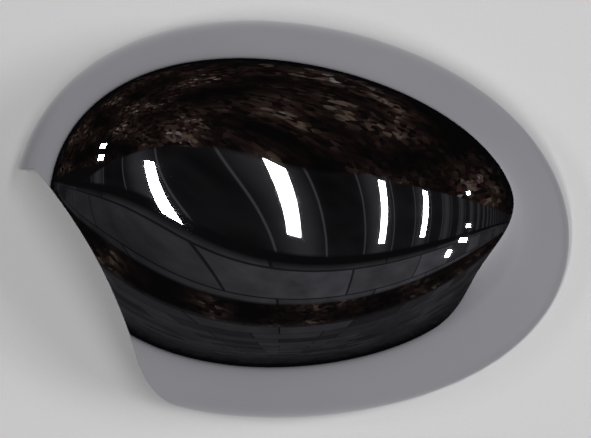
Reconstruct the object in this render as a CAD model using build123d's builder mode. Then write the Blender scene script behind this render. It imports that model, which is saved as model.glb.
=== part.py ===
from build123d import *
from math import cos, radians, sin, sqrt
import os

# A wing mirror cover: a plated cap, moulded in one piece, that clips over the back of a door mirror.
# It lies on its rim with the crown up, the nose towards +X and the heel towards -X.
# All sizes are millimetres, and the origin is the middle of its box on the rim plane.

# The shell, an egg in plan that is cut short at the heel
length = 200.0  # from the tip of the heel to the nose
middle_width = 143.2  # across the middle of the egg
middle_height = 66.6  # from the rim plane to the crown, at the middle of the egg
wall = 2.5
spine_shift = -0.35  # the line that the width is centred on: its place, slope and bow
spine_slope = -3.45
spine_bow = -2.95
nose_narrowing = 6.5  # how much half the width loses towards the nose, and gains towards the heel
end_fullness = 5.0  # how much half the width gains towards both ends

# How the crown's height changes over the egg, as shares of it
nose_taper = 0.136  # lower towards the nose, higher towards the heel
nose_fall = 0.313  # the same, but mostly at the ends
side_shoulder = 0.147  # fuller towards both sides
upper_shoulder = 0.178  # fuller towards the upper side
skew = 0.249  # fuller between the heel and the upper side, and between the nose and the lower side
end_shoulder = 0.563  # fuller on the upper side of both ends
nose_pinch = 0.278  # leaner on both sides of the nose, fuller on both sides of the heel

# The cut-out for the mirror's arm: the heel, the arch and the lower corner
heel_end = 17.2  # where the heel's wall ends, along Y
heel_foot = 11.2  # from the tip of the heel to the notch where the arch starts
heel_tip = 5.0  # the rounding of the heel's tip in plan: its length and its lift
heel_lift = 2.8
notch_round = 1.5  # the rounding of the notch in plan
arch_reach = 48.3  # how far the arch reaches in from the tip of the heel
arch_overrun = 4.0  # how far the cut runs past the rim
corner_rise = 37.0  # the height at which the corner leaves the arch
corner_lead = 0.4
corner_lean = 0.3  # the slope that it starts with, sideways for each unit down
corner_run = 16.4
corner_foot = 25.0  # the radius that brings it into the rim
corner_drop = 0.5
edge_round = 0.6

# The clip hooks behind the rim, and their angles round it from the nose
hook_inset = 10.0
hook_width = 9.0
hook_thickness = 2.2
hook_tip = 4.0  # the height of the hook's free end over the rim plane
hook_lead = 5.0
hook_catch = 1.6
gusset_thickness = 1.6
gusset_rise = 14.0
hook_stations = (-4.0, 38.0, 76.0, 128.0, -48.0, -92.0)

# The locating pegs, and their angles round the rim from the nose
peg_inset = 22.0
peg_radius = 3.0
peg_tip = 6.0  # the height of the peg's free end over the rim plane
peg_length = 16.0
peg_lead = 0.8
boss_radius = 5.0
peg_stations = (102.0, -26.0)

# How the blanks are cut: their margin, and the share of the wall that the fixings' roots are sunk into it
blank_margin = 12.0
root_share = 0.6
round_limit = 0.4


def plan_half_width(along):
    """Half the egg's width in plan, before its ends close, at a place from -1 to 1 along it."""
    return middle_width / 2 - nose_narrowing * along + end_fullness * along**2


def plan_spine(along):
    """The line that the egg's width is centred on, bowed a little across the length."""
    return spine_shift + spine_slope * along + spine_bow * along**2


def fullness(along, across):
    """The share of a plain ball's height that the skin has at a place along and across the egg."""
    lengthwise = nose_taper * along + nose_fall * along**3
    crosswise = side_shoulder * across**2 + upper_shoulder * across**3
    return 1 - lengthwise + crosswise + across * along * (end_shoulder * along - nose_pinch * across - skew)


def crossing(low, high, is_low):
    """The place between two others where a test stops being true, found by halving."""
    for _ in range(40):
        middle = (low + high) / 2
        if is_low(middle):
            low = middle
        else:
            high = middle
    return low


def rim_top(along):
    """The far edge of the rim at a place along the egg."""
    return plan_spine(along) + sqrt(1 - along**2) * plan_half_width(along)


# The egg's half length and middle follow from the place along it where the rim comes down to the heel's end
heel_place = crossing(-1.0, -0.5, lambda along: rim_top(along) < heel_end)
half_length = length / (1 - heel_place)
egg_middle = length / 2 - half_length


def ball_to_skin(along, across, up):
    """A point of the outer skin, from a point of the unit ball that is drawn out into the egg."""
    x = egg_middle + half_length * along
    y = plan_spine(along) + across * plan_half_width(along)
    return Vector(x, y, middle_height * up * fullness(along, across))


def skin_height(x, y):
    """How high the outer skin stands over a point of the rim plane, or 0 outside the egg."""
    along = (x - egg_middle) / half_length
    across = (y - plan_spine(along)) / plan_half_width(along)
    return ball_to_skin(along, across, sqrt(max(0.0, 1 - along**2 - across**2))).Z


def skin_point(s, t):
    """A point of the outer skin, from a flat grid that is wrapped over the ball with no pole."""
    spread = 1 + s**2 + t**2
    return ball_to_skin(2 * s / spread, 2 * t / spread, (2 - spread) / spread)


def inset_point(s, t, inset):
    """A point below the outer skin, square to it, at the given depth."""
    step = 0.001
    along_s = skin_point(s + step, t) - skin_point(s - step, t)
    along_t = skin_point(s, t + step) - skin_point(s, t - step)
    return skin_point(s, t) - along_s.cross(along_t).normalized() * inset


def skin(inset):
    """The curved face at a depth below the outer skin, running a little under the rim plane."""
    reach = 1.12
    steps = 14
    places = [reach * i / steps for i in range(-steps, steps + 1)]
    return Face.make_surface_from_array_of_points([[inset_point(s, t, inset) for t in places] for s in places])


def dome(inset):
    """The solid between the rim plane and the skin at that depth."""
    with BuildPart() as solid:
        Box(
            length + 2 * blank_margin,
            middle_width + 2 * blank_margin,
            middle_height + blank_margin,
            align=(Align.CENTER, Align.CENTER, Align.MIN),
        )
        split(bisect_by=skin(inset), keep=Keep.BOTTOM)
    return solid.part


def rim_plane(station, inset):
    """An upright plane at an angle round the rim, its X axis pointing inwards, set in from the rim."""
    along = cos(radians(station))
    across = sin(radians(station))
    slope = spine_slope + 2 * spine_bow * along + across * (2 * end_fullness * along - nose_narrowing)
    tangent = Vector(-half_length * across, along * plan_half_width(along) - across * slope)
    inward = Vector(-tangent.Y, tangent.X).normalized()
    origin = ball_to_skin(along, across, 0.0) + inward * inset
    return Plane(origin=origin, x_dir=inward, z_dir=inward.cross(Vector(0, 0, 1)))


def clip_hook(station):
    """A springy leg with a catch on its inner face, held to the wall by two gussets."""
    plane = rim_plane(station, hook_inset)
    with BuildPart() as hook:
        with BuildSketch(plane):
            with BuildLine():
                Polyline(
                    (0, hook_tip),
                    (hook_thickness, hook_tip),
                    (hook_thickness + hook_catch, hook_tip + hook_lead),
                    (hook_thickness, hook_tip + hook_lead + hook_catch),
                    (hook_thickness, middle_height),
                    (0, middle_height),
                    close=True,
                )
            make_face()
        extrude(amount=hook_width / 2, both=True)
        for side in (-1, 1):
            with BuildSketch(plane.offset(side * (hook_width - gusset_thickness) / 2)):
                with BuildLine():
                    Polyline(
                        (hook_thickness, gusset_rise),
                        (hook_thickness, middle_height),
                        (-hook_inset, middle_height),
                        (-hook_inset, gusset_rise),
                        close=True,
                    )
                make_face()
            extrude(amount=gusset_thickness / 2, both=True)
        add(root_dome, mode=Mode.INTERSECT)
    return hook.part


def locating_peg(station):
    """A round peg on a stouter boss, with one web from the boss to the wall."""
    plane = rim_plane(station, peg_inset)
    shoulder = peg_tip + peg_length
    with BuildPart() as peg:
        with BuildSketch(Plane(origin=plane.origin + Vector(0, 0, peg_tip))):
            Circle(peg_radius)
        extrude(amount=peg_length)
        chamfer(peg.faces().sort_by(Axis.Z)[0].edges(), peg_lead)
        with BuildSketch(Plane(origin=plane.origin + Vector(0, 0, shoulder))):
            Circle(boss_radius)
        extrude(amount=middle_height)
        with BuildSketch(plane):
            with BuildLine():
                Polyline(
                    (0, shoulder),
                    (0, middle_height),
                    (-peg_inset, middle_height),
                    (-peg_inset, shoulder),
                    close=True,
                )
            make_face()
        extrude(amount=gusset_thickness / 2, both=True)
        add(root_dome, mode=Mode.INTERSECT)
    return peg.part


# The outline of the cut-out in plan, and the radius of its arch
gap_left = -length / 2 - blank_margin
heel_start = (-length / 2 + heel_tip, heel_end)
heel_stop = (-length / 2, heel_end + heel_lift)
notch = (-length / 2 + heel_foot, heel_end)
arch_end = (-length / 2 + arch_reach, -middle_width / 2 - arch_overrun)
arch_across = arch_end[0] - notch[0]
arch_down = notch[1] - arch_end[1]
arch_radius = (arch_across**2 + arch_down**2) / (2 * arch_across)


def arch_x(y):
    """Where the arch of the cut-out is, at a place across the egg."""
    return arch_end[0] - arch_radius + sqrt(arch_radius**2 - (y - arch_end[1]) ** 2)


# The lower corner, seen from the side: it leaves the arch where the skin is at the corner's rise
corner_y = crossing(arch_end[1], 0.0, lambda y: skin_height(arch_x(y), y) < corner_rise)
corner_top = (arch_x(corner_y) - corner_lead, corner_rise)
corner_end = (corner_top[0] + corner_run, -corner_drop)

# The blanks of the shell, its cavity and the roots of the fixings, and the fixings themselves
outer_dome = dome(0.0)
root_dome = dome(root_share * wall)
cavity_dome = dome(wall)
hooks = [clip_hook(station) for station in hook_stations]
pegs = [locating_peg(station) for station in peg_stations]

with BuildPart() as mirror_cover:
    add(outer_dome)
    add(cavity_dome, mode=Mode.SUBTRACT)
    # The heel and the arch are cut straight down
    with BuildSketch(Plane.XY) as cut_out:
        with BuildLine():
            Line(notch, heel_start)
            TangentArc(heel_start, heel_stop, tangent=(-1, 0))
            Polyline(heel_stop, (gap_left, heel_stop[1]), (gap_left, arch_end[1]), arch_end)
            TangentArc(arch_end, notch, tangent=(0, 1))
        make_face()
        fillet(cut_out.vertices().sort_by_distance(notch)[0], notch_round)
    extrude(amount=middle_height + blank_margin, mode=Mode.SUBTRACT)
    # The lower corner is cut straight across
    with BuildSketch(Plane.XZ) as corner:
        with BuildLine():
            TangentArc(corner_top, corner_end, tangent=(corner_lean, -1))
            Polyline(
                corner_end,
                (length / 2, corner_end[1]),
                (length / 2, -blank_margin),
                (gap_left, -blank_margin),
                (gap_left, corner_rise),
                corner_top,
            )
        make_face()
        fillet(corner.vertices().sort_by_distance(corner_end)[0], corner_foot)
    extrude(amount=middle_width, mode=Mode.SUBTRACT)
    # The edges of the outer skin are rounded
    outer_skin = mirror_cover.faces().sort_by(SortBy.AREA)[-1]
    fillet(outer_skin.edges(), min(edge_round, round_limit * wall))
    for fixing in hooks + pegs:
        add(fixing)

mirror_cover.part.label = "mirror_cover"
os.makedirs("parts", exist_ok=True)
export_step(mirror_cover.part, "parts/mirror_cover.step")
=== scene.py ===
from math import atan2, cos, pi, radians, sin, sqrt

import bmesh
import bpy
import numpy as np
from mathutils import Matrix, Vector


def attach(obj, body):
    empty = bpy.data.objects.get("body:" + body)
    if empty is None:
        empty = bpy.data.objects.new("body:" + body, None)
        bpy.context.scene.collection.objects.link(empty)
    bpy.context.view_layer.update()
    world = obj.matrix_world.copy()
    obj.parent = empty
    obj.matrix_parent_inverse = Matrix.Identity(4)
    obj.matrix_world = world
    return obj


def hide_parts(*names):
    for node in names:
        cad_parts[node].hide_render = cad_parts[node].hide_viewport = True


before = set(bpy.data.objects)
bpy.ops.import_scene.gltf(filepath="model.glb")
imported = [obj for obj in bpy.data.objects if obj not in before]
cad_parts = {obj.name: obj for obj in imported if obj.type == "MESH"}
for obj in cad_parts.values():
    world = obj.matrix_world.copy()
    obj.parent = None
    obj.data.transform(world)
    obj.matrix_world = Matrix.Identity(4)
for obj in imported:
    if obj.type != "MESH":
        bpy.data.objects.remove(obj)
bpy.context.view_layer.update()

# The shell is the whole outside of the cover: an egg-shaped cap, moulded in plastic 2.5 mm thick and plated.
# Its heel end is cut away in an arch for the mirror's arm, and the lower corner sweeps down into the rim.
# It lies on the flat rim, which closes against the mirror housing. Lengths are in millimetres.
millimetre = 0.001
length = 200.0
middle_width = 143.2
middle_height = 66.6
wall = 2.5
edge_round = 0.6

# How the egg's spine bends, and how its width and height change along it and across it
spine_shift, spine_slope, spine_bow = -0.35, -3.45, -2.95
nose_narrowing, end_fullness = 6.5, 5.0
nose_taper, nose_fall = 0.136, 0.313
side_shoulder, upper_shoulder = 0.147, 0.178
skew, end_shoulder, nose_pinch = 0.249, 0.563, 0.278

# The cuts: the heel's lip with the notch beside it, the arch, and the sweep of the lower corner
heel_end, heel_foot, heel_tip, heel_lift, notch_round = 17.2, 11.2, 5.0, 2.8, 1.5
arch_reach, arch_overrun = 48.3, 4.0
corner_rise, corner_lead, corner_lean = 37.0, 0.4, 0.3
corner_run, corner_foot, corner_drop = 16.4, 25.0, 0.5


def crossing(low, high, is_low):
    """The place between two others where a test stops being true, found by halving."""
    halvings = 40
    for _ in range(halvings):
        middle = (low + high) / 2
        low, high = (middle, high) if is_low(middle) else (low, middle)
    return low


def plan_half_width(along):
    """Half the egg's width in plan, before its ends close."""
    return middle_width / 2 - nose_narrowing * along + end_fullness * along**2


def plan_spine(along):
    """The line that the egg's width is centred on."""
    return spine_shift + spine_slope * along + spine_bow * along**2


def rim_top(along):
    """The far edge of the rim at a place along the egg."""
    return plan_spine(along) + sqrt(1 - along**2) * plan_half_width(along)


heel_search = (-1.0, -0.5)
heel_place = crossing(*heel_search, lambda along: rim_top(along) < heel_end)
half_length = length / (1 - heel_place)
egg_middle = length / 2 - half_length


def skin(grid):
    """Points of the outer skin, from places of a flat grid that is wrapped over a ball and drawn out."""
    s, t = grid[..., 0], grid[..., 1]
    spread = 1 + s**2 + t**2
    along, across, up = 2 * s / spread, 2 * t / spread, (2 - spread) / spread
    lengthwise = nose_taper * along + nose_fall * along**3
    crosswise = side_shoulder * across**2 + upper_shoulder * across**3
    shoulders = across * along * (end_shoulder * along - nose_pinch * across - skew)
    height = middle_height * up * (1 - lengthwise + crosswise + shoulders)
    width = plan_spine(along) + across * plan_half_width(along)
    return np.stack([egg_middle + half_length * along, width, height], axis=-1)


def skin_normal(grid):
    """The outward directions of the skin at places of the grid."""
    step = 1e-4
    across_s = skin(grid + (step, 0)) - skin(grid - (step, 0))
    across_t = skin(grid + (0, step)) - skin(grid - (0, step))
    outward = np.cross(across_s, across_t)
    return outward / np.linalg.norm(outward, axis=-1, keepdims=True)


def sunk_skin(grid, depth):
    """Points square below the outer skin at the given depth."""
    return skin(grid) - depth * skin_normal(grid)


def settle(grid, depth, misses):
    """Moves places of the grid until both misses of each skin point there are nought."""
    most_rounds, near_enough, step = 25, 1e-8, 1e-5

    def misses_at(places):
        return misses(places, sunk_skin(places, depth))

    for _ in range(most_rounds):
        miss = misses_at(grid)
        if np.abs(miss).max() < near_enough:
            break
        by_s, by_t = [
            (misses_at(grid + move) - misses_at(grid - move)) / (2 * step)
            for move in (np.array([step, 0]), np.array([0, step]))
        ]
        turn = by_s[:, 0] * by_t[:, 1] - by_s[:, 1] * by_t[:, 0]
        move_s = (miss[:, 0] * by_t[:, 1] - miss[:, 1] * by_t[:, 0]) / turn
        move_t = (by_s[:, 0] * miss[:, 1] - by_s[:, 1] * miss[:, 0]) / turn
        grid = grid - np.stack([move_s, move_t], axis=-1)
    return grid


def grid_over(plan):
    """The places of the grid whose outer skin is over the given points of the rim plane."""
    least_up_squared = 1e-3
    along = (plan[:, 0] - egg_middle) / half_length
    across = (plan[:, 1] - plan_spine(along)) / plan_half_width(along)
    up = np.sqrt(np.clip(1 - along**2 - across**2, least_up_squared, None))
    return np.stack([along, across], axis=-1) / (1 + up)[:, None]


def height_over(plan, depth):
    """How high the skin at a depth stands over points of the rim plane."""
    grid = settle(grid_over(plan), depth, lambda _, points: points[:, :2] - plan)
    return sunk_skin(grid, depth)[:, 2]


def angle_of(way):
    """The angle of a flat direction, from the first axis towards the second."""
    return atan2(way[1], way[0])


# The arcs that cut the heel, the notch and the arch, each a centre and a radius seen from above
heel_radius = (heel_tip**2 + heel_lift**2) / (2 * heel_lift)
heel_start = np.array([-length / 2 + heel_tip, heel_end])
heel_centre = heel_start + (0, heel_radius)
arch_end = np.array([-length / 2 + arch_reach, -middle_width / 2 - arch_overrun])
notch = np.array([-length / 2 + heel_foot, heel_end])
arch_across, arch_down = arch_end[0] - notch[0], notch[1] - arch_end[1]
arch_radius = (arch_across**2 + arch_down**2) / (2 * arch_across)
arch_centre = arch_end - (arch_radius, 0)
notch_down = heel_end - notch_round - arch_centre[1]
notch_centre = arch_centre + (sqrt((arch_radius - notch_round) ** 2 - notch_down**2), notch_down)
notch_turn = angle_of(notch_centre - arch_centre)


def arch_x(y):
    """Where the arch is at a place across the cover."""
    return arch_centre[0] + sqrt(arch_radius**2 - (y - arch_centre[1]) ** 2)


def skin_over_arch(y):
    """The height of the outer skin over the arch."""
    place = grid_over(np.array([[arch_x(y), y]]))
    return skin(place)[0, 2]


# The two arcs of the lower corner, seen from the side: the sweep down from the arch, and its foot on the rim
corner_search = 12.0
corner_y = crossing(arch_end[1] + corner_search, 0.0, lambda y: skin_over_arch(y) < corner_rise)
corner_top = np.array([arch_x(corner_y) - corner_lead, corner_rise])
corner_end = np.array([corner_top[0] + corner_run, -corner_drop])
corner_square = np.array([1.0, corner_lean]) / sqrt(1 + corner_lean**2)
corner_span = corner_end - corner_top
corner_radius = corner_span @ corner_span / (2 * corner_square @ corner_span)
corner_centre = corner_top + corner_radius * corner_square
foot_up = corner_foot - corner_drop
foot_left = sqrt((corner_radius - corner_foot) ** 2 - (foot_up - corner_centre[1]) ** 2)
foot_centre = np.array([corner_centre[0] - foot_left, foot_up])
foot_end = foot_centre[0] - sqrt(corner_foot**2 - foot_up**2)
foot_turn = angle_of(foot_centre - corner_centre) % (2 * pi)


def off_circle(points, axes, centre, radius):
    """How far points are outside a circle, seen along one axis."""
    return np.linalg.norm(points[:, axes] - centre, axis=-1) - radius


def from_circle(points, axes, centre):
    """Unit directions away from a circle's centre, seen along one axis."""
    away = np.zeros_like(points)
    away[:, axes] = points[:, axes] - centre
    return away / np.linalg.norm(away, axis=-1, keepdims=True)


# The edge goes round in stretches, each with its own number of steps. Three ends are found from nearby.
plan_axes, side_axes = [0, 1], [0, 2]
stretches = {"rim": 330, "heel": 18, "heel_wall": 8, "notch": 6, "arch": 96, "corner": 30, "foot": 30}
foot_near, tip_near = (foot_end, -66.0), (-98.0, 20.5)
crease_drop = 4.0
crease_near = (arch_x(corner_y - crease_drop), corner_y - crease_drop)


def edge_line(depth):
    """The places of the grid round the edge of the skin at a depth, stretch after stretch from the foot."""

    def shares(name):
        return np.arange(stretches[name]) / stretches[name]

    def on_arc(centre, radius, first, last, name):
        angles = first + (last - first) * shares(name)
        return centre + radius * np.stack([np.cos(angles), np.sin(angles)], axis=-1)

    def settle_near(plan, misses):
        return settle(grid_over(np.array([plan])), depth, misses)[0]

    def off_heel(heights):
        return lambda _, points: np.stack(
            [points[:, 2] - heights, off_circle(points, plan_axes, heel_centre, heel_radius)], axis=-1
        )

    def off_crease(_, points):
        off_arch = off_circle(points, plan_axes, arch_centre, arch_radius)
        return np.stack([off_arch, off_circle(points, side_axes, corner_centre, corner_radius)], axis=-1)

    foot_place = settle_near(foot_near, lambda _, points: points[:, side_axes] - (foot_end, 0.0))
    tip_place = settle_near(tip_near, off_heel(0.0))
    crease_place = settle_near(crease_near, off_crease)
    crease = sunk_skin(crease_place[None], depth)[0]

    rim_first, rim_last = angle_of(foot_place), angle_of(tip_place)
    turn = rim_first + (rim_last - rim_first) * shares("rim")
    way = np.stack([np.cos(turn), np.sin(turn)], axis=-1)
    aside = np.stack([-np.sin(turn), np.cos(turn)], axis=-1)
    rim = settle(way, depth, lambda grid, points: np.stack([points[:, 2], (grid * aside).sum(-1)], axis=-1))
    heel_heights = height_over(heel_start[None], depth)[0] * shares("heel")
    climb = tip_place + (grid_over(heel_start[None])[0] - tip_place) * shares("heel")[:, None]
    parts = [rim, settle(climb, depth, off_heel(heel_heights))]

    wall_end = np.array([notch_centre[0], heel_end])
    on_wall = heel_start + (wall_end - heel_start) * shares("heel_wall")[:, None]
    in_notch = on_arc(notch_centre, notch_round, pi / 2, notch_turn, "notch")
    on_arch = on_arc(arch_centre, arch_radius, notch_turn, angle_of(crease[:2] - arch_centre), "arch")
    for plan in (on_wall, in_notch, on_arch):
        parts.append(settle(grid_over(plan), depth, lambda _, points: points[:, :2] - plan))

    crease_turn = angle_of(crease[side_axes] - corner_centre) % (2 * pi)
    rim_turn = angle_of((foot_end - foot_centre[0], -foot_up)) % (2 * pi)
    on_corner = on_arc(corner_centre, corner_radius, crease_turn, foot_turn, "corner")
    on_foot = on_arc(foot_centre, corner_foot, foot_turn, rim_turn, "foot")
    place = crease_place
    for side in (on_corner, on_foot):
        found = []
        for point in side:
            place = settle(place[None], depth, lambda _, points: points[:, side_axes] - point)[0]
            found.append(place)
        parts.append(np.array(found))
    return np.concatenate(parts)


def wall_directions(points):
    """The outward directions of the cut wall just before and just after each point of the edge line."""
    facing = {
        "rim": lambda p: np.tile((0.0, 0.0, -1.0), (len(p), 1)),
        "heel": lambda p: from_circle(p, plan_axes, heel_centre),
        "heel_wall": lambda p: np.tile((0.0, -1.0, 0.0), (len(p), 1)),
        "notch": lambda p: -from_circle(p, plan_axes, notch_centre),
        "arch": lambda p: -from_circle(p, plan_axes, arch_centre),
        "corner": lambda p: from_circle(p, side_axes, corner_centre),
        "foot": lambda p: from_circle(p, side_axes, foot_centre),
    }
    before, after = np.zeros_like(points), np.zeros_like(points)
    first = 0
    for name, steps in stretches.items():
        rows = np.arange(first, first + steps + 1) % len(points)
        directions = facing[name](points[rows])
        after[rows[:-1]] = directions[:-1]
        before[rows[1:]] = directions[1:]
        first += steps
    return before, after


outer_edge = edge_line(0.0)
inner_edge = edge_line(wall)
edge_points = skin(outer_edge)
edge_normals = skin_normal(outer_edge)
wall_before, wall_after = wall_directions(edge_points)

# The rounded edge: where a small ball that touches the skin and the wall rolls along them
round_steps = 6
smooth_turn = 1e-3
wall_middle = wall_before + wall_after
wall_middle /= np.linalg.norm(wall_middle, axis=-1, keepdims=True)
goes_on = np.linalg.norm(wall_before - wall_after, axis=-1) < smooth_turn
third_plane = np.where(goes_on[:, None], np.cross(edge_normals, wall_before), wall_after)
planes = np.stack([edge_normals, wall_before, third_plane], axis=1)


def turned_to(direction, share):
    """Directions a share of the way from the skin's to the wall's."""
    between = np.arccos(np.clip((edge_normals * direction).sum(-1), -1, 1))
    skin_part = np.sin((1 - share) * between)[:, None] * edge_normals
    mixed = skin_part + np.sin(share * between)[:, None] * direction
    return mixed / np.linalg.norm(mixed, axis=-1, keepdims=True)


round_points, round_normals = [], []
for step in range(round_steps + 1):
    share = step / round_steps
    facing = turned_to(wall_middle, share)
    below = edge_round * (1 - (edge_normals * facing).sum(-1))
    inside_before = edge_round * (1 - (wall_before * turned_to(wall_before, share)).sum(-1))
    inside_after = edge_round * (1 - (wall_after * turned_to(wall_after, share)).sum(-1))
    moves = np.stack([-below, -inside_before, np.where(goes_on, 0.0, -inside_after)], axis=-1)
    round_points.append(edge_points + np.linalg.solve(planes, moves[..., None])[..., 0])
    round_normals.append(facing)

# The skin runs from a place near the crown out to the line where the rounding starts
start_rounds, small_step = 6, 1e-5
start_line = outer_edge.copy()
for _ in range(start_rounds):
    miss = round_points[0] - skin(start_line)
    by_s = (skin(start_line + (small_step, 0)) - skin(start_line - (small_step, 0))) / (2 * small_step)
    by_t = (skin(start_line + (0, small_step)) - skin(start_line - (0, small_step))) / (2 * small_step)
    ss, st, tt = (by_s * by_s).sum(-1), (by_s * by_t).sum(-1), (by_t * by_t).sum(-1)
    ms, mt = (miss * by_s).sum(-1), (miss * by_t).sum(-1)
    area = ss * tt - st**2
    start_line = start_line + np.stack([(ms * tt - mt * st) / area, (mt * ss - ms * st) / area], axis=-1)
round_points[0] = skin(start_line)
round_normals[0] = skin_normal(start_line)

crown_place = np.array([-0.2, 0.17])
outer_rings, inner_rings = 72, 40
rings, ring_normals = [], []
for ring in range(1, outer_rings):
    places = crown_place + (start_line - crown_place) * ring / outer_rings
    rings.append(skin(places))
    ring_normals.append(skin_normal(places))
rings += round_points
ring_normals += round_normals
edge_strip = len(rings) - 1
for ring in range(inner_rings, 0, -1):
    places = crown_place + (inner_edge - crown_place) * ring / inner_rings
    rings.append(sunk_skin(places, wall))
    ring_normals.append(-skin_normal(places))

# Strips of faces between the rings, with a fan at the crown and one under it
around = len(outer_edge)
crown_normal = skin_normal(crown_place[None])
shell_points = np.concatenate([skin(crown_place[None])] + rings + [sunk_skin(crown_place[None], wall)])
point_normals = np.concatenate([crown_normal] + ring_normals + [-crown_normal])
under_number = len(shell_points) - 1
ring_numbers = 1 + np.arange(len(rings) * around).reshape(len(rings), around)
next_numbers = np.roll(ring_numbers, -1, axis=1)
strips = np.stack([ring_numbers[:-1], ring_numbers[1:], next_numbers[1:], next_numbers[:-1]], axis=-1)
first_fan = np.stack([np.zeros(around, int), ring_numbers[0], next_numbers[0]], axis=-1)
last_fan = np.stack([ring_numbers[-1], np.full(around, under_number), next_numbers[-1]], axis=-1)

# The cut wall is flat across, and creased where one stretch of the edge meets the next
next_before = np.roll(wall_before, -1, axis=0)
strip_normals = point_normals[strips]
strip_normals[edge_strip] = np.stack([wall_after, wall_after, next_before, next_before], axis=1)
strip_normals[edge_strip - 1][:, 1] = wall_after
strip_normals[edge_strip - 1][:, 2] = next_before
corner_normals = np.concatenate(
    [corners.reshape(-1, 3) for corners in (point_normals[first_fan], strip_normals, point_normals[last_fan])]
)

shell_mesh = bpy.data.meshes.new("cover_shell")
shell_mesh.from_pydata(
    (shell_points * millimetre).tolist(),
    [],
    first_fan.tolist() + strips.reshape(-1, 4).tolist() + last_fan.tolist(),
)
shell_mesh.polygons.foreach_set("use_smooth", [True] * len(shell_mesh.polygons))
shell_mesh.normals_split_custom_set(corner_normals.tolist())
cover_shell = bpy.data.objects.new("cover_shell", shell_mesh)
bpy.context.scene.collection.objects.link(cover_shell)


class Wire:
    """A socket of a finish, with sums that add Math nodes and one way to add every other node."""

    def __init__(self, tree, socket=None):
        self.tree, self.socket = tree, socket

    def add(self, kind, settings, sockets, out=0):
        """Adds a node, with its settings before its sockets, and gives the wire that leaves it."""
        node = self.tree.nodes.new(kind)
        for name, value in settings.items():
            if name == "stops":
                stops = node.color_ramp.elements
                while len(stops) < len(value):
                    stops.new(0.5)
                for stop, (place, colour) in zip(stops, value):
                    stop.position, stop.color = place, colour
            else:
                setattr(node, name, value)
        for name, value in sockets.items():
            if isinstance(value, Wire):
                self.tree.links.new(value.socket, node.inputs[name])
            else:
                node.inputs[name].default_value = value
        return Wire(self.tree, node.outputs[out]) if node.outputs else None

    def maths(self, operation, first, second=0.0):
        return self.add("ShaderNodeMath", {"operation": operation}, {0: first, 1: second})

    def __add__(self, other):
        return self.maths("ADD", self, other)

    __radd__ = __add__

    def __sub__(self, other):
        return self.maths("SUBTRACT", self, other)

    def __rsub__(self, other):
        return self.maths("SUBTRACT", other, self)

    def __mul__(self, other):
        return self.maths("MULTIPLY", self, other)

    __rmul__ = __mul__

    def __truediv__(self, other):
        return self.maths("DIVIDE", self, other)

    def __rtruediv__(self, other):
        return self.maths("DIVIDE", other, self)


def new_finish(name):
    """An empty node material, and the wire that its nodes are added from."""
    finish = bpy.data.materials.new(name)
    finish.use_nodes = True
    finish.node_tree.nodes.clear()
    return finish, Wire(finish.node_tree)


def noise(start, place, scale, detail):
    """A cloudy pattern between 0 and 1, in patches of about one over the scale in metres."""
    return start.add("ShaderNodeTexNoise", {}, {"Vector": place, "Scale": scale, "Detail": detail})


def ramp(start, value, low, high):
    """The value stretched so that it goes from 0 at the low end to 1 at the high one, and no further."""
    sockets = {"Value": value, "From Min": low, "From Max": high}
    return start.add("ShaderNodeMapRange", {"clamp": True}, sockets)


def blend(start, share, first, second):
    """A colour between two others. Sockets 6 and 7 are the Mix node's colours, and output 2 is its colour."""
    return start.add("ShaderNodeMix", {"data_type": "RGBA"}, {0: share, 6: first, 7: second}, 2)


# The bright plating: copper, nickel and a thin layer of chrome over polished plastic. It has a faint swell
# from the moulding under it, wipe marks and specks of dust on it, and a line along the lowest rim that is
# duller where the rim is handled and darker in colour as a painted contact shadow against the floor.
bright_tones = (0.368, 0.366, 0.394, 1), (0.396, 0.394, 0.420, 1)
# The rim line's darker tone is painted shadow where the rim meets the floor; its rougher finish is handling
# wear.
rim_shadow_and_wear_tone, rim_shadow_and_wear_share = (0.26, 0.26, 0.28, 1), 0.6
rim_shadow_and_wear_from, rim_shadow_and_wear_to = 0.0004, 0.0020
cloud_scale, speck_scale, swell_scale = 14.0, 1500.0, 55.0
wipe_turn, wipe_scale = (0, 0, 0.6), (40, 260, 80)
cloud_edge, haze_edge, wipe_edge, speck_edge = (0.3, 0.7), (0.35, 0.75), (0.45, 0.75), (0.76, 0.82)
wipe_haze, cloud_haze, speck_haze, handled_haze, least_haze = 0.012, 0.008, 0.04, 0.10, 0.014
bright_plating, start = new_finish("bright_chrome_plating")
place = start.add("ShaderNodeTexCoord", {}, {}, "Object")
height = start.add("ShaderNodeSeparateXYZ", {}, {0: place}, "Z")
clouds = noise(start, place, cloud_scale, detail=3.0)
wipe_lines = start.add("ShaderNodeMapping", {}, {"Vector": place, "Rotation": wipe_turn, "Scale": wipe_scale})
wipes = noise(start, wipe_lines, scale=1.0, detail=4.0)
specks = ramp(start, noise(start, place, speck_scale, detail=1.0), *speck_edge)
rim_shadow_and_wear = 1 - ramp(start, height, rim_shadow_and_wear_from, rim_shadow_and_wear_to)
tone = blend(start, ramp(start, clouds, *cloud_edge), *bright_tones)
# Painted shadow: the base colour is darkened along the lowest two millimetres of the rim.
tone = blend(start, rim_shadow_and_wear * rim_shadow_and_wear_share, tone, rim_shadow_and_wear_tone)
waves = noise(start, place, swell_scale, detail=1.0)
swell = start.add("ShaderNodeBump", {}, {"Strength": 0.02, "Distance": 0.0004, "Height": waves})
haze = ramp(start, wipes, *wipe_edge) * wipe_haze + ramp(start, clouds, *haze_edge) * cloud_haze
haze = haze + specks * speck_haze + rim_shadow_and_wear * handled_haze + least_haze
gloss = start.add(
    "ShaderNodeBsdfPrincipled",
    {},
    {
        "Base Color": tone,
        "Metallic": 1.0,
        "Roughness": haze,
        "Specular Tint": (0.72, 0.72, 0.74, 1),
        "Normal": swell,
    },
)
start.add("ShaderNodeOutputMaterial", {}, {"Surface": gloss})

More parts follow.
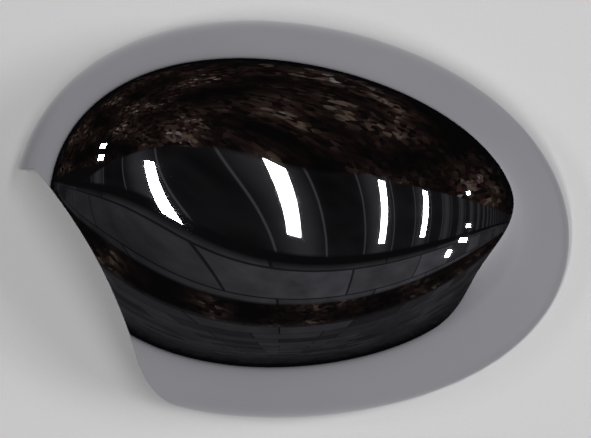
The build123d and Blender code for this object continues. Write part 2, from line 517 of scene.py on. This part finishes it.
# The plating inside is thinner and satin, because the plastic there isn't polished.
# It shows the mould's fine grain and cloudy patches, and goes over the hooks and pegs too.
satin_tones = (0.37, 0.372, 0.378, 1), (0.50, 0.50, 0.505, 1)
patch_scale, mould_scale = 22.0, 1700.0
patch_haze, mould_haze, satin_haze = 0.12, 0.08, 0.26
satin_plating, start = new_finish("satin_inside_plating")
place = start.add("ShaderNodeTexCoord", {}, {}, "Object")
clouds = noise(start, place, patch_scale, detail=4.0)
mould_grain = noise(start, place, mould_scale, detail=2.0)
patches = ramp(start, clouds, *cloud_edge)
rough = start.add("ShaderNodeBump", {}, {"Strength": 0.35, "Distance": 0.0003, "Height": mould_grain})
satin = start.add(
    "ShaderNodeBsdfPrincipled",
    {},
    {
        "Base Color": blend(start, patches, *satin_tones),
        "Metallic": 1.0,
        "Roughness": patches * patch_haze + mould_grain * mould_haze + satin_haze,
        "Normal": rough,
    },
)
start.add("ShaderNodeOutputMaterial", {}, {"Surface": satin})

# The bright plating goes over the skin and the cut wall, and the satin one over the inside
bright_count = (edge_strip + 2) * around
satin_count = len(shell_mesh.polygons) - bright_count
shell_mesh.materials.append(bright_plating)
shell_mesh.materials.append(satin_plating)
shell_mesh.polygons.foreach_set("material_index", [0] * bright_count + [1] * satin_count)
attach(cover_shell, "root")
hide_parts("mirror_cover")

# The clip hooks are springy legs behind the rim, each with a catch on its inner face and two gussets.
# They are moulded in one with the shell, of the same plated plastic, and hold it to the housing's frame.
hook_inset, hook_width, hook_thickness = 10.0, 9.0, 2.2
hook_tip, hook_lead, hook_catch = 4.0, 5.0, 1.6
gusset_thickness, gusset_rise, gusset_steps = 1.6, 14.0, 8
hook_stations = (-4.0, 38.0, 76.0, 128.0, -48.0, -92.0)
hook_bevel = 0.18
root_depth, rim_margin = 1.5, 0.4


def rim_directions(station, inset):
    """A point set in from the rim at an angle from the nose, and the directions inwards and along the rim."""
    along, across = cos(radians(station)), sin(radians(station))
    slope = spine_slope + 2 * spine_bow * along + across * (2 * end_fullness * along - nose_narrowing)
    tangent = np.array([-half_length * across, along * plan_half_width(along) - across * slope])
    inward = np.array([-tangent[1], tangent[0]]) / np.linalg.norm(tangent)
    rim = np.array([egg_middle + half_length * along, plan_spine(along) + across * plan_half_width(along)])
    return rim + inward * inset, inward, np.array([inward[1], -inward[0]])


def moulded_piece(name, faces, bevel):
    """A closed piece from faces of points in millimetres, with its edges softened, riding with the shell."""
    weld, sliver = 2e-6, 5e-6
    bevelled_over, sharp_over = radians(35), radians(40)
    work = bmesh.new()
    for face in faces:
        work.faces.new([work.verts.new(Vector(point) * millimetre) for point in face])
    bmesh.ops.remove_doubles(work, verts=work.verts, dist=weld)
    bmesh.ops.recalc_face_normals(work, faces=work.faces)
    bmesh.ops.bevel(
        work,
        geom=[edge for edge in work.edges if edge.is_manifold and edge.calc_face_angle(0) > bevelled_over],
        offset=bevel * millimetre,
        segments=2,
        profile=0.5,
        affect="EDGES",
        clamp_overlap=True,
    )
    bmesh.ops.dissolve_degenerate(work, dist=sliver, edges=work.edges)
    mesh = bpy.data.meshes.new(name)
    work.to_mesh(mesh)
    work.free()
    mesh.polygons.foreach_set("use_smooth", [True] * len(mesh.polygons))
    mesh.set_sharp_from_angle(angle=sharp_over)
    mesh.materials.append(satin_plating)
    piece = bpy.data.objects.new(name, mesh)
    bpy.context.scene.collection.objects.link(piece)
    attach(piece, "root")


def clip_hook_faces(station):
    """The faces of one hook: its leg and catch, its two gussets and the root that is sunk into the wall."""
    origin, inward, aside = rim_directions(station, hook_inset)

    def plan(u, v):
        return origin + inward * u + aside * v

    def root_height(u, v):
        return height_over(plan(u, v)[None], root_depth)[0]

    def at(u, v, z):
        return (*plan(u, v), z)

    half, slot = hook_width / 2, hook_width / 2 - gusset_thickness
    lines = (-half, -slot, slot, half)
    reach, curve = {}, {}
    for v in lines:
        reach[v] = crossing(0.0, hook_inset - rim_margin, lambda u: root_height(-u, v) > gusset_rise)
        run = [-reach[v] * (1 - i / gusset_steps) for i in range(gusset_steps + 1)]
        curve[v] = [(-reach[v], gusset_rise)] + [(u, root_height(u, v)) for u in run[1:]]

    def on_root(v, i):
        return at(curve[v][i][0], v, curve[v][i][1])

    thick, knee, toe = hook_thickness, hook_tip + hook_lead + hook_catch, hook_tip + hook_lead
    front = {v: at(thick, v, root_height(thick, v)) for v in lines}
    catch = [(thick, knee), (thick + hook_catch, toe), (thick, hook_tip), (0, hook_tip)]
    faces = []
    for v in (-half, half):
        back = [at(0, v, hook_tip), at(0, v, gusset_rise)]
        root = [at(u, v, z) for u, z in curve[v]]
        faces.append(back + root + [front[v]] + [at(u, v, z) for u, z in catch[:3]])
    for v in (-slot, slot):
        faces.append([at(u, v, z) for u, z in [(0, gusset_rise)] + curve[v]])
    for near, far in ((-half, -slot), (slot, half)):
        ledge = [(0, near), (0, far), (-reach[far], far), (-reach[near], near)]
        faces.append([at(u, v, gusset_rise) for u, v in ledge])
        for i in range(gusset_steps):
            faces.append([on_root(near, i), on_root(near, i + 1), on_root(far, i + 1), on_root(far, i)])
    leg_back = [at(0, v, hook_tip) for v in (-half, half)]
    faces.append(leg_back + [at(0, v, gusset_rise) for v in (half, slot, -slot, -half)])
    faces.append([at(0, -slot, gusset_rise), at(0, slot, gusset_rise), on_root(slot, -1), on_root(-slot, -1)])
    for near, far in zip(lines[:-1], lines[1:]):
        faces.append([on_root(near, -1), on_root(far, -1), front[far], front[near]])
    faces.append([front[v] for v in lines] + [at(thick, half, knee), at(thick, -half, knee)])
    for (u0, z0), (u1, z1) in zip(catch[:-1], catch[1:]):
        faces.append([at(u0, -half, z0), at(u0, half, z0), at(u1, half, z1), at(u1, -half, z1)])
    return faces


for number, station in enumerate(hook_stations, 1):
    moulded_piece(f"clip_hook_{number}", clip_hook_faces(station), hook_bevel)

# The two locating pegs line the cover up with round sockets in the housing's frame before the hooks snap in.
# Each is a plain round peg with a chamfered tip on a stouter boss, and one web ties the boss to the wall.
peg_inset, peg_radius, peg_tip, peg_length, peg_lead = 22.0, 3.0, 6.0, 16.0, 0.8
boss_radius, boss_foot = 5.0, peg_tip + peg_length
web_overlap, web_steps = 0.5, 10
peg_stations = (102.0, -26.0)
peg_sides, peg_bevel = 40, 0.15


def locating_peg_faces(station):
    """The faces of one peg with its boss, as turned rings."""
    origin, inward, aside = rim_directions(station, peg_inset)
    turns = [2 * pi * i / peg_sides for i in range(peg_sides)]

    def plan(radius, turn):
        return origin + radius * (inward * cos(turn) + aside * sin(turn))

    tip = [(peg_radius - peg_lead, peg_tip), (peg_radius, peg_tip + peg_lead)]
    profile = tip + [(peg_radius, boss_foot), (boss_radius, boss_foot)]
    circles = [[(*plan(radius, turn), z) for turn in turns] for radius, z in profile]
    top = [plan(boss_radius, turn) for turn in turns]
    heights = height_over(np.array(top), root_depth)
    circles.append([(*point, z) for point, z in zip(top, heights)])
    faces = [circles[0][::-1]]
    for lower, upper in zip(circles[:-1], circles[1:]):
        for i in range(peg_sides):
            j = (i + 1) % peg_sides
            faces.append([lower[i], lower[j], upper[j], upper[i]])
    middle = (*origin, height_over(origin[None], root_depth)[0])
    for i in range(peg_sides):
        faces.append([circles[-1][i], circles[-1][(i + 1) % peg_sides], middle])
    return faces


def web_faces(station):
    """The faces of the web between a peg's boss and the wall."""
    origin, inward, aside = rim_directions(station, peg_inset)
    half = gusset_thickness / 2
    first = -(boss_radius - web_overlap)

    def plan(u, v):
        return origin + inward * u + aside * v

    def root_height(u, v):
        return height_over(plan(u, v)[None], root_depth)[0]

    sides = {}
    for v in (-half, half):
        reach = crossing(-first, peg_inset - rim_margin, lambda u: root_height(-u, v) > boss_foot)
        run = [first + (-reach - first) * i / web_steps for i in range(web_steps + 1)]
        sides[v] = [(*plan(u, v), root_height(u, v)) for u in run[:-1]] + [(*plan(run[-1], v), boss_foot)]
    feet = {v: (*plan(first, v), boss_foot) for v in sides}
    faces = [[feet[v]] + sides[v] for v in sides]
    for i in range(web_steps):
        faces.append([sides[-half][i], sides[-half][i + 1], sides[half][i + 1], sides[half][i]])
    for end in (-1, 0):
        faces.append([feet[-half], sides[-half][end], sides[half][end], feet[half]])
    return faces


for number, station in enumerate(peg_stations, 1):
    moulded_piece(f"locating_peg_{number}", locating_peg_faces(station), peg_bevel)
    moulded_piece(f"peg_web_{number}", web_faces(station), peg_bevel)

# The floor is a wide sheet of matt pale paper that the cover lies on, and that its steep sides mirror.
# Far off at the nose's lower side it sweeps up a little, so that the nose mirrors more of it there.
floor_half, floor_steps = 2.0, 160
sweep_start, sweep_stop, sweep_rise = 0.70, 1.30, 0.20
sweep_middle, sweep_spread = radians(-19.0), radians(17.0)
paper_tones = (0.550, 0.550, 0.555, 1), (0.580, 0.580, 0.585, 1)
fibre_scale = 900.0
paper, start = new_finish("pale_paper")
place = start.add("ShaderNodeTexCoord", {}, {}, "Object")
fibres = noise(start, place, fibre_scale, detail=3.0)
matt = start.add(
    "ShaderNodeBsdfPrincipled",
    {},
    {"Base Color": blend(start, fibres, *paper_tones), "Roughness": 0.9, "Specular IOR Level": 0.1},
)
start.add("ShaderNodeOutputMaterial", {}, {"Surface": matt})


def floor_height(x, y):
    """How far the sheet is above the rim plane, in metres."""
    out = min(max((sqrt(x**2 + y**2) - sweep_start) / (sweep_stop - sweep_start), 0.0), 1.0)
    aside = (atan2(y, x) - sweep_middle) / sweep_spread
    return sweep_rise * out**2 * (3 - 2 * out) * 2.0 ** -(aside**2)


floor_line = [floor_half * (2 * i / floor_steps - 1) for i in range(floor_steps + 1)]
floor_points = [(x, y, floor_height(x, y)) for y in floor_line for x in floor_line]
floor_row = floor_steps + 1
floor_faces = [
    (first, first + 1, first + 1 + floor_row, first + floor_row)
    for first in range(floor_row * floor_steps)
    if first % floor_row < floor_steps
]
floor_mesh = bpy.data.meshes.new("paper_floor")
floor_mesh.from_pydata(floor_points, [], floor_faces)
floor_mesh.polygons.foreach_set("use_smooth", [True] * len(floor_faces))
floor_mesh.materials.append(paper)
paper_floor = bpy.data.objects.new("paper_floor", floor_mesh)
bpy.context.scene.collection.objects.link(paper_floor)

# The light is a row of long soft strips overhead and small lamps at both ends of the row, which the crown
# mirrors as white bars and glints. A strip is its place, length, width, turn in degrees and brightness, and a
# small lamp, which is aimed at the cover, is the same without the turn.
lamp_height = 1.4
strip_lights = (
    (-0.485, -0.190, 0.47, 0.090, -4.6, 63.0),
    (0.270, 0.142, 0.58, 0.095, -8.0, 34.0),
    (1.190, 0.207, 0.84, 0.085, -4.5, 54.0),
    (2.035, 0.206, 0.83, 0.120, -4.5, 54.0),
)
small_lights = (
    (-1.376, 0.400, 0.14, 0.110, 54.0),
    (-1.351, 0.140, 0.13, 0.110, 54.0),
    (4.30, 0.90, 0.10, 0.11, 60.0),
    (4.26, -0.14, 0.11, 0.10, 60.0),
    (4.06, -0.57, 0.20, 0.12, 60.0),
    (3.31, -0.83, 0.10, 0.20, 60.0),
)


def hang_lamp(name, x, y, long_side, short_side, brightness):
    """A flat lamp that faces down, as bright to look at as given, whatever its size."""
    lamp = bpy.data.lights.new(name, "AREA")
    lamp.shape = "RECTANGLE"
    lamp.size, lamp.size_y = short_side, long_side
    lamp.energy = brightness * pi * short_side * long_side
    hung = bpy.data.objects.new(name, lamp)
    hung.location = (x, y, lamp_height)
    bpy.context.scene.collection.objects.link(hung)
    return hung


for number, (x, y, long_side, short_side, turn, brightness) in enumerate(strip_lights, 1):
    strip = hang_lamp(f"strip_light_{number}", x, y, long_side, short_side, brightness)
    strip.rotation_euler = (0, 0, radians(turn))
for number, (x, y, long_side, short_side, brightness) in enumerate(small_lights, 1):
    small = hang_lamp(f"small_light_{number}", x, y, long_side, short_side, brightness)
    small.rotation_euler = (-small.location).to_track_quat("-Z", "Y").to_euler()

# The studio round the cover is dim, so that the plating stays dark between the lamps. A panelled ceiling runs
# along the row of strips, the far side is mottled brown and the near side is worn grey slabs. Places along
# and across the row are measured on a ceiling one unit up, and everything fades out low down.
black, low_tone = (0, 0, 0, 1), (0.004, 0.004, 0.005, 1)
ceiling_tone, slab_tone = (1.0, 0.96, 1.0, 1), (0.94, 0.94, 1.0, 1)
mottled_tones = (
    (0.00, (0.005, 0.004, 0.004, 1)),
    (0.35, (0.020, 0.012, 0.010, 1)),
    (0.62, (0.046, 0.031, 0.024, 1)),
    (0.80, (0.150, 0.120, 0.084, 1)),
    (0.88, (0.060, 0.010, 0.012, 1)),
    (1.00, (0.330, 0.320, 0.300, 1)),
)
strip_spacing, first_strip = 0.61, 0.21
joint_spacing, first_joint = 0.155, 0.05
strip_glow, joint_glow, panel_glow, least_glow = 0.045, 0.07, 0.020, 0.002
ceiling_slant, ceiling_shift, ceiling_widest = 0.33, 0.22, 0.47
ceiling_near, ceiling_far, joint_edge = (-0.27, -0.24), (0.0, 0.03), (0.003, 0.009)
panel_scale, mottle_scale, gather_scale, gather_edge = 5.0, 34.0, 3.6, (0.37, 0.64)
raised_outer, raised_inner, lower_edge = (-0.98, -0.92), (-0.40, -0.34), (-1.75, -1.55)
brighter_along, dim_end, end_gain = (-0.9, 0.5), 0.4, 0.6
worn_scale, raised_wear, lower_wear, slab_glow, near_glow = 7.0, 0.14, 0.05, 0.03, 0.008
between_edge, between_share = (-0.6, -0.5), 0.7
least_rise, sides_meet, fade_edge = 0.06, 0.02, (0.01, 0.16)
world = bpy.data.worlds.new("dark_studio")
bpy.context.scene.world = world
world.use_nodes = True
world.node_tree.nodes.clear()
start = Wire(world.node_tree)
way = start.add("ShaderNodeTexCoord", {}, {}, "Generated")
way_x, way_y, way_z = [start.add("ShaderNodeSeparateXYZ", {}, {0: way}, axis) for axis in "XYZ"]
rise = start.maths("MAXIMUM", way_z, least_rise)
along_row, across_row = way_x / rise, way_y / rise

# The ceiling, with a glow beside each strip and pale joints between its panels
far_side = start.maths("MINIMUM", along_row * ceiling_slant + ceiling_shift, ceiling_widest)
overhead = ramp(start, across_row, *ceiling_near) * (1 - ramp(start, across_row - far_side, *ceiling_far))
beside_strip = start.maths("COSINE", (along_row - first_strip) * (2 * pi / strip_spacing)) * 0.5 + 0.5
beside_strip = beside_strip * beside_strip * beside_strip
to_joint = start.maths("PINGPONG", along_row - first_joint, joint_spacing)
joint = 1 - ramp(start, to_joint, *joint_edge)
panels = noise(start, way, panel_scale, detail=1.0)
ceiling_light = beside_strip * strip_glow + joint * joint_glow + panels * panel_glow + least_glow
ceiling = blend(start, ceiling_light, black, ceiling_tone)

# The far side, in small patches that gather in larger ones
mottles = start.add("ShaderNodeTexVoronoi", {}, {"Vector": way, "Scale": mottle_scale}, "Color")
mottle_tone = start.add("ShaderNodeSeparateXYZ", {}, {0: mottles}, "X")
gathered = ramp(start, noise(start, way, gather_scale, detail=2.0), *gather_edge)
mottled = start.add("ShaderNodeValToRGB", {"stops": mottled_tones}, {"Fac": mottle_tone * gathered})

# The near side, with a raised row of slabs, a lower one further off and a mottled strip between them
raised_row = ramp(start, across_row, *raised_outer) * (1 - ramp(start, across_row, *raised_inner))
lower_row = 1 - ramp(start, across_row, *lower_edge)
worn = noise(start, way, worn_scale, detail=2.0)
slabs = start.add(
    "ShaderNodeTexBrick",
    {"offset": 0.37},
    {
        "Vector": start.add("ShaderNodeCombineXYZ", {}, {0: along_row, 1: across_row}),
        "Color1": (0.35, 0.35, 0.35, 1),
        "Color2": (1.0, 1.0, 1.0, 1),
        "Mortar": (0.15, 0.15, 0.15, 1),
        "Scale": 1.0,
        "Mortar Size": 0.012,
        "Mortar Smooth": 0.2,
        "Brick Width": 0.95,
        "Row Height": 0.42,
    },
)
slab_shade = start.add("ShaderNodeSeparateXYZ", {}, {0: slabs}, "X")
raised_light = (ramp(start, along_row, *brighter_along) * end_gain + dim_end) * slab_shade
raised_light = raised_row * raised_light * (worn * raised_wear + slab_glow)
lower_light = lower_row * slab_shade * (worn * lower_wear + slab_glow)
near_side = blend(start, raised_light + lower_light + near_glow, black, slab_tone)
slab_rows = start.maths("MAXIMUM", raised_row, lower_row)
between_rows = 1 - start.maths("MAXIMUM", slab_rows, ramp(start, across_row, *between_edge))
near_side = blend(start, between_rows * between_share, near_side, mottled)

sides = blend(start, ramp(start, way_y, -sides_meet, sides_meet), near_side, mottled)
room = blend(start, overhead, sides, ceiling)
room = blend(start, ramp(start, way_z, *fade_edge), low_tone, room)
backdrop = start.add("ShaderNodeBackground", {}, {"Color": room, "Strength": 1.0})
start.add("ShaderNodeOutputWorld", {}, {"Surface": backdrop})

# The camera looks straight down on the cover, with the cover's length across the frame.
# Its lens is long, so that the cover fills the frame from about ten times its height.
camera_place = (0.00045, 0.0001, 0.75)
view = bpy.data.cameras.new("overhead_camera")
view.sensor_fit, view.sensor_width = "HORIZONTAL", 36.0
view.lens = 125.4
view.clip_start, view.clip_end = 0.01, 50.0
camera = bpy.data.objects.new("overhead_camera", view)
camera.location = camera_place
bpy.context.scene.collection.objects.link(camera)
bpy.context.scene.camera = camera
bpy.context.scene.view_settings.view_transform = "Standard"
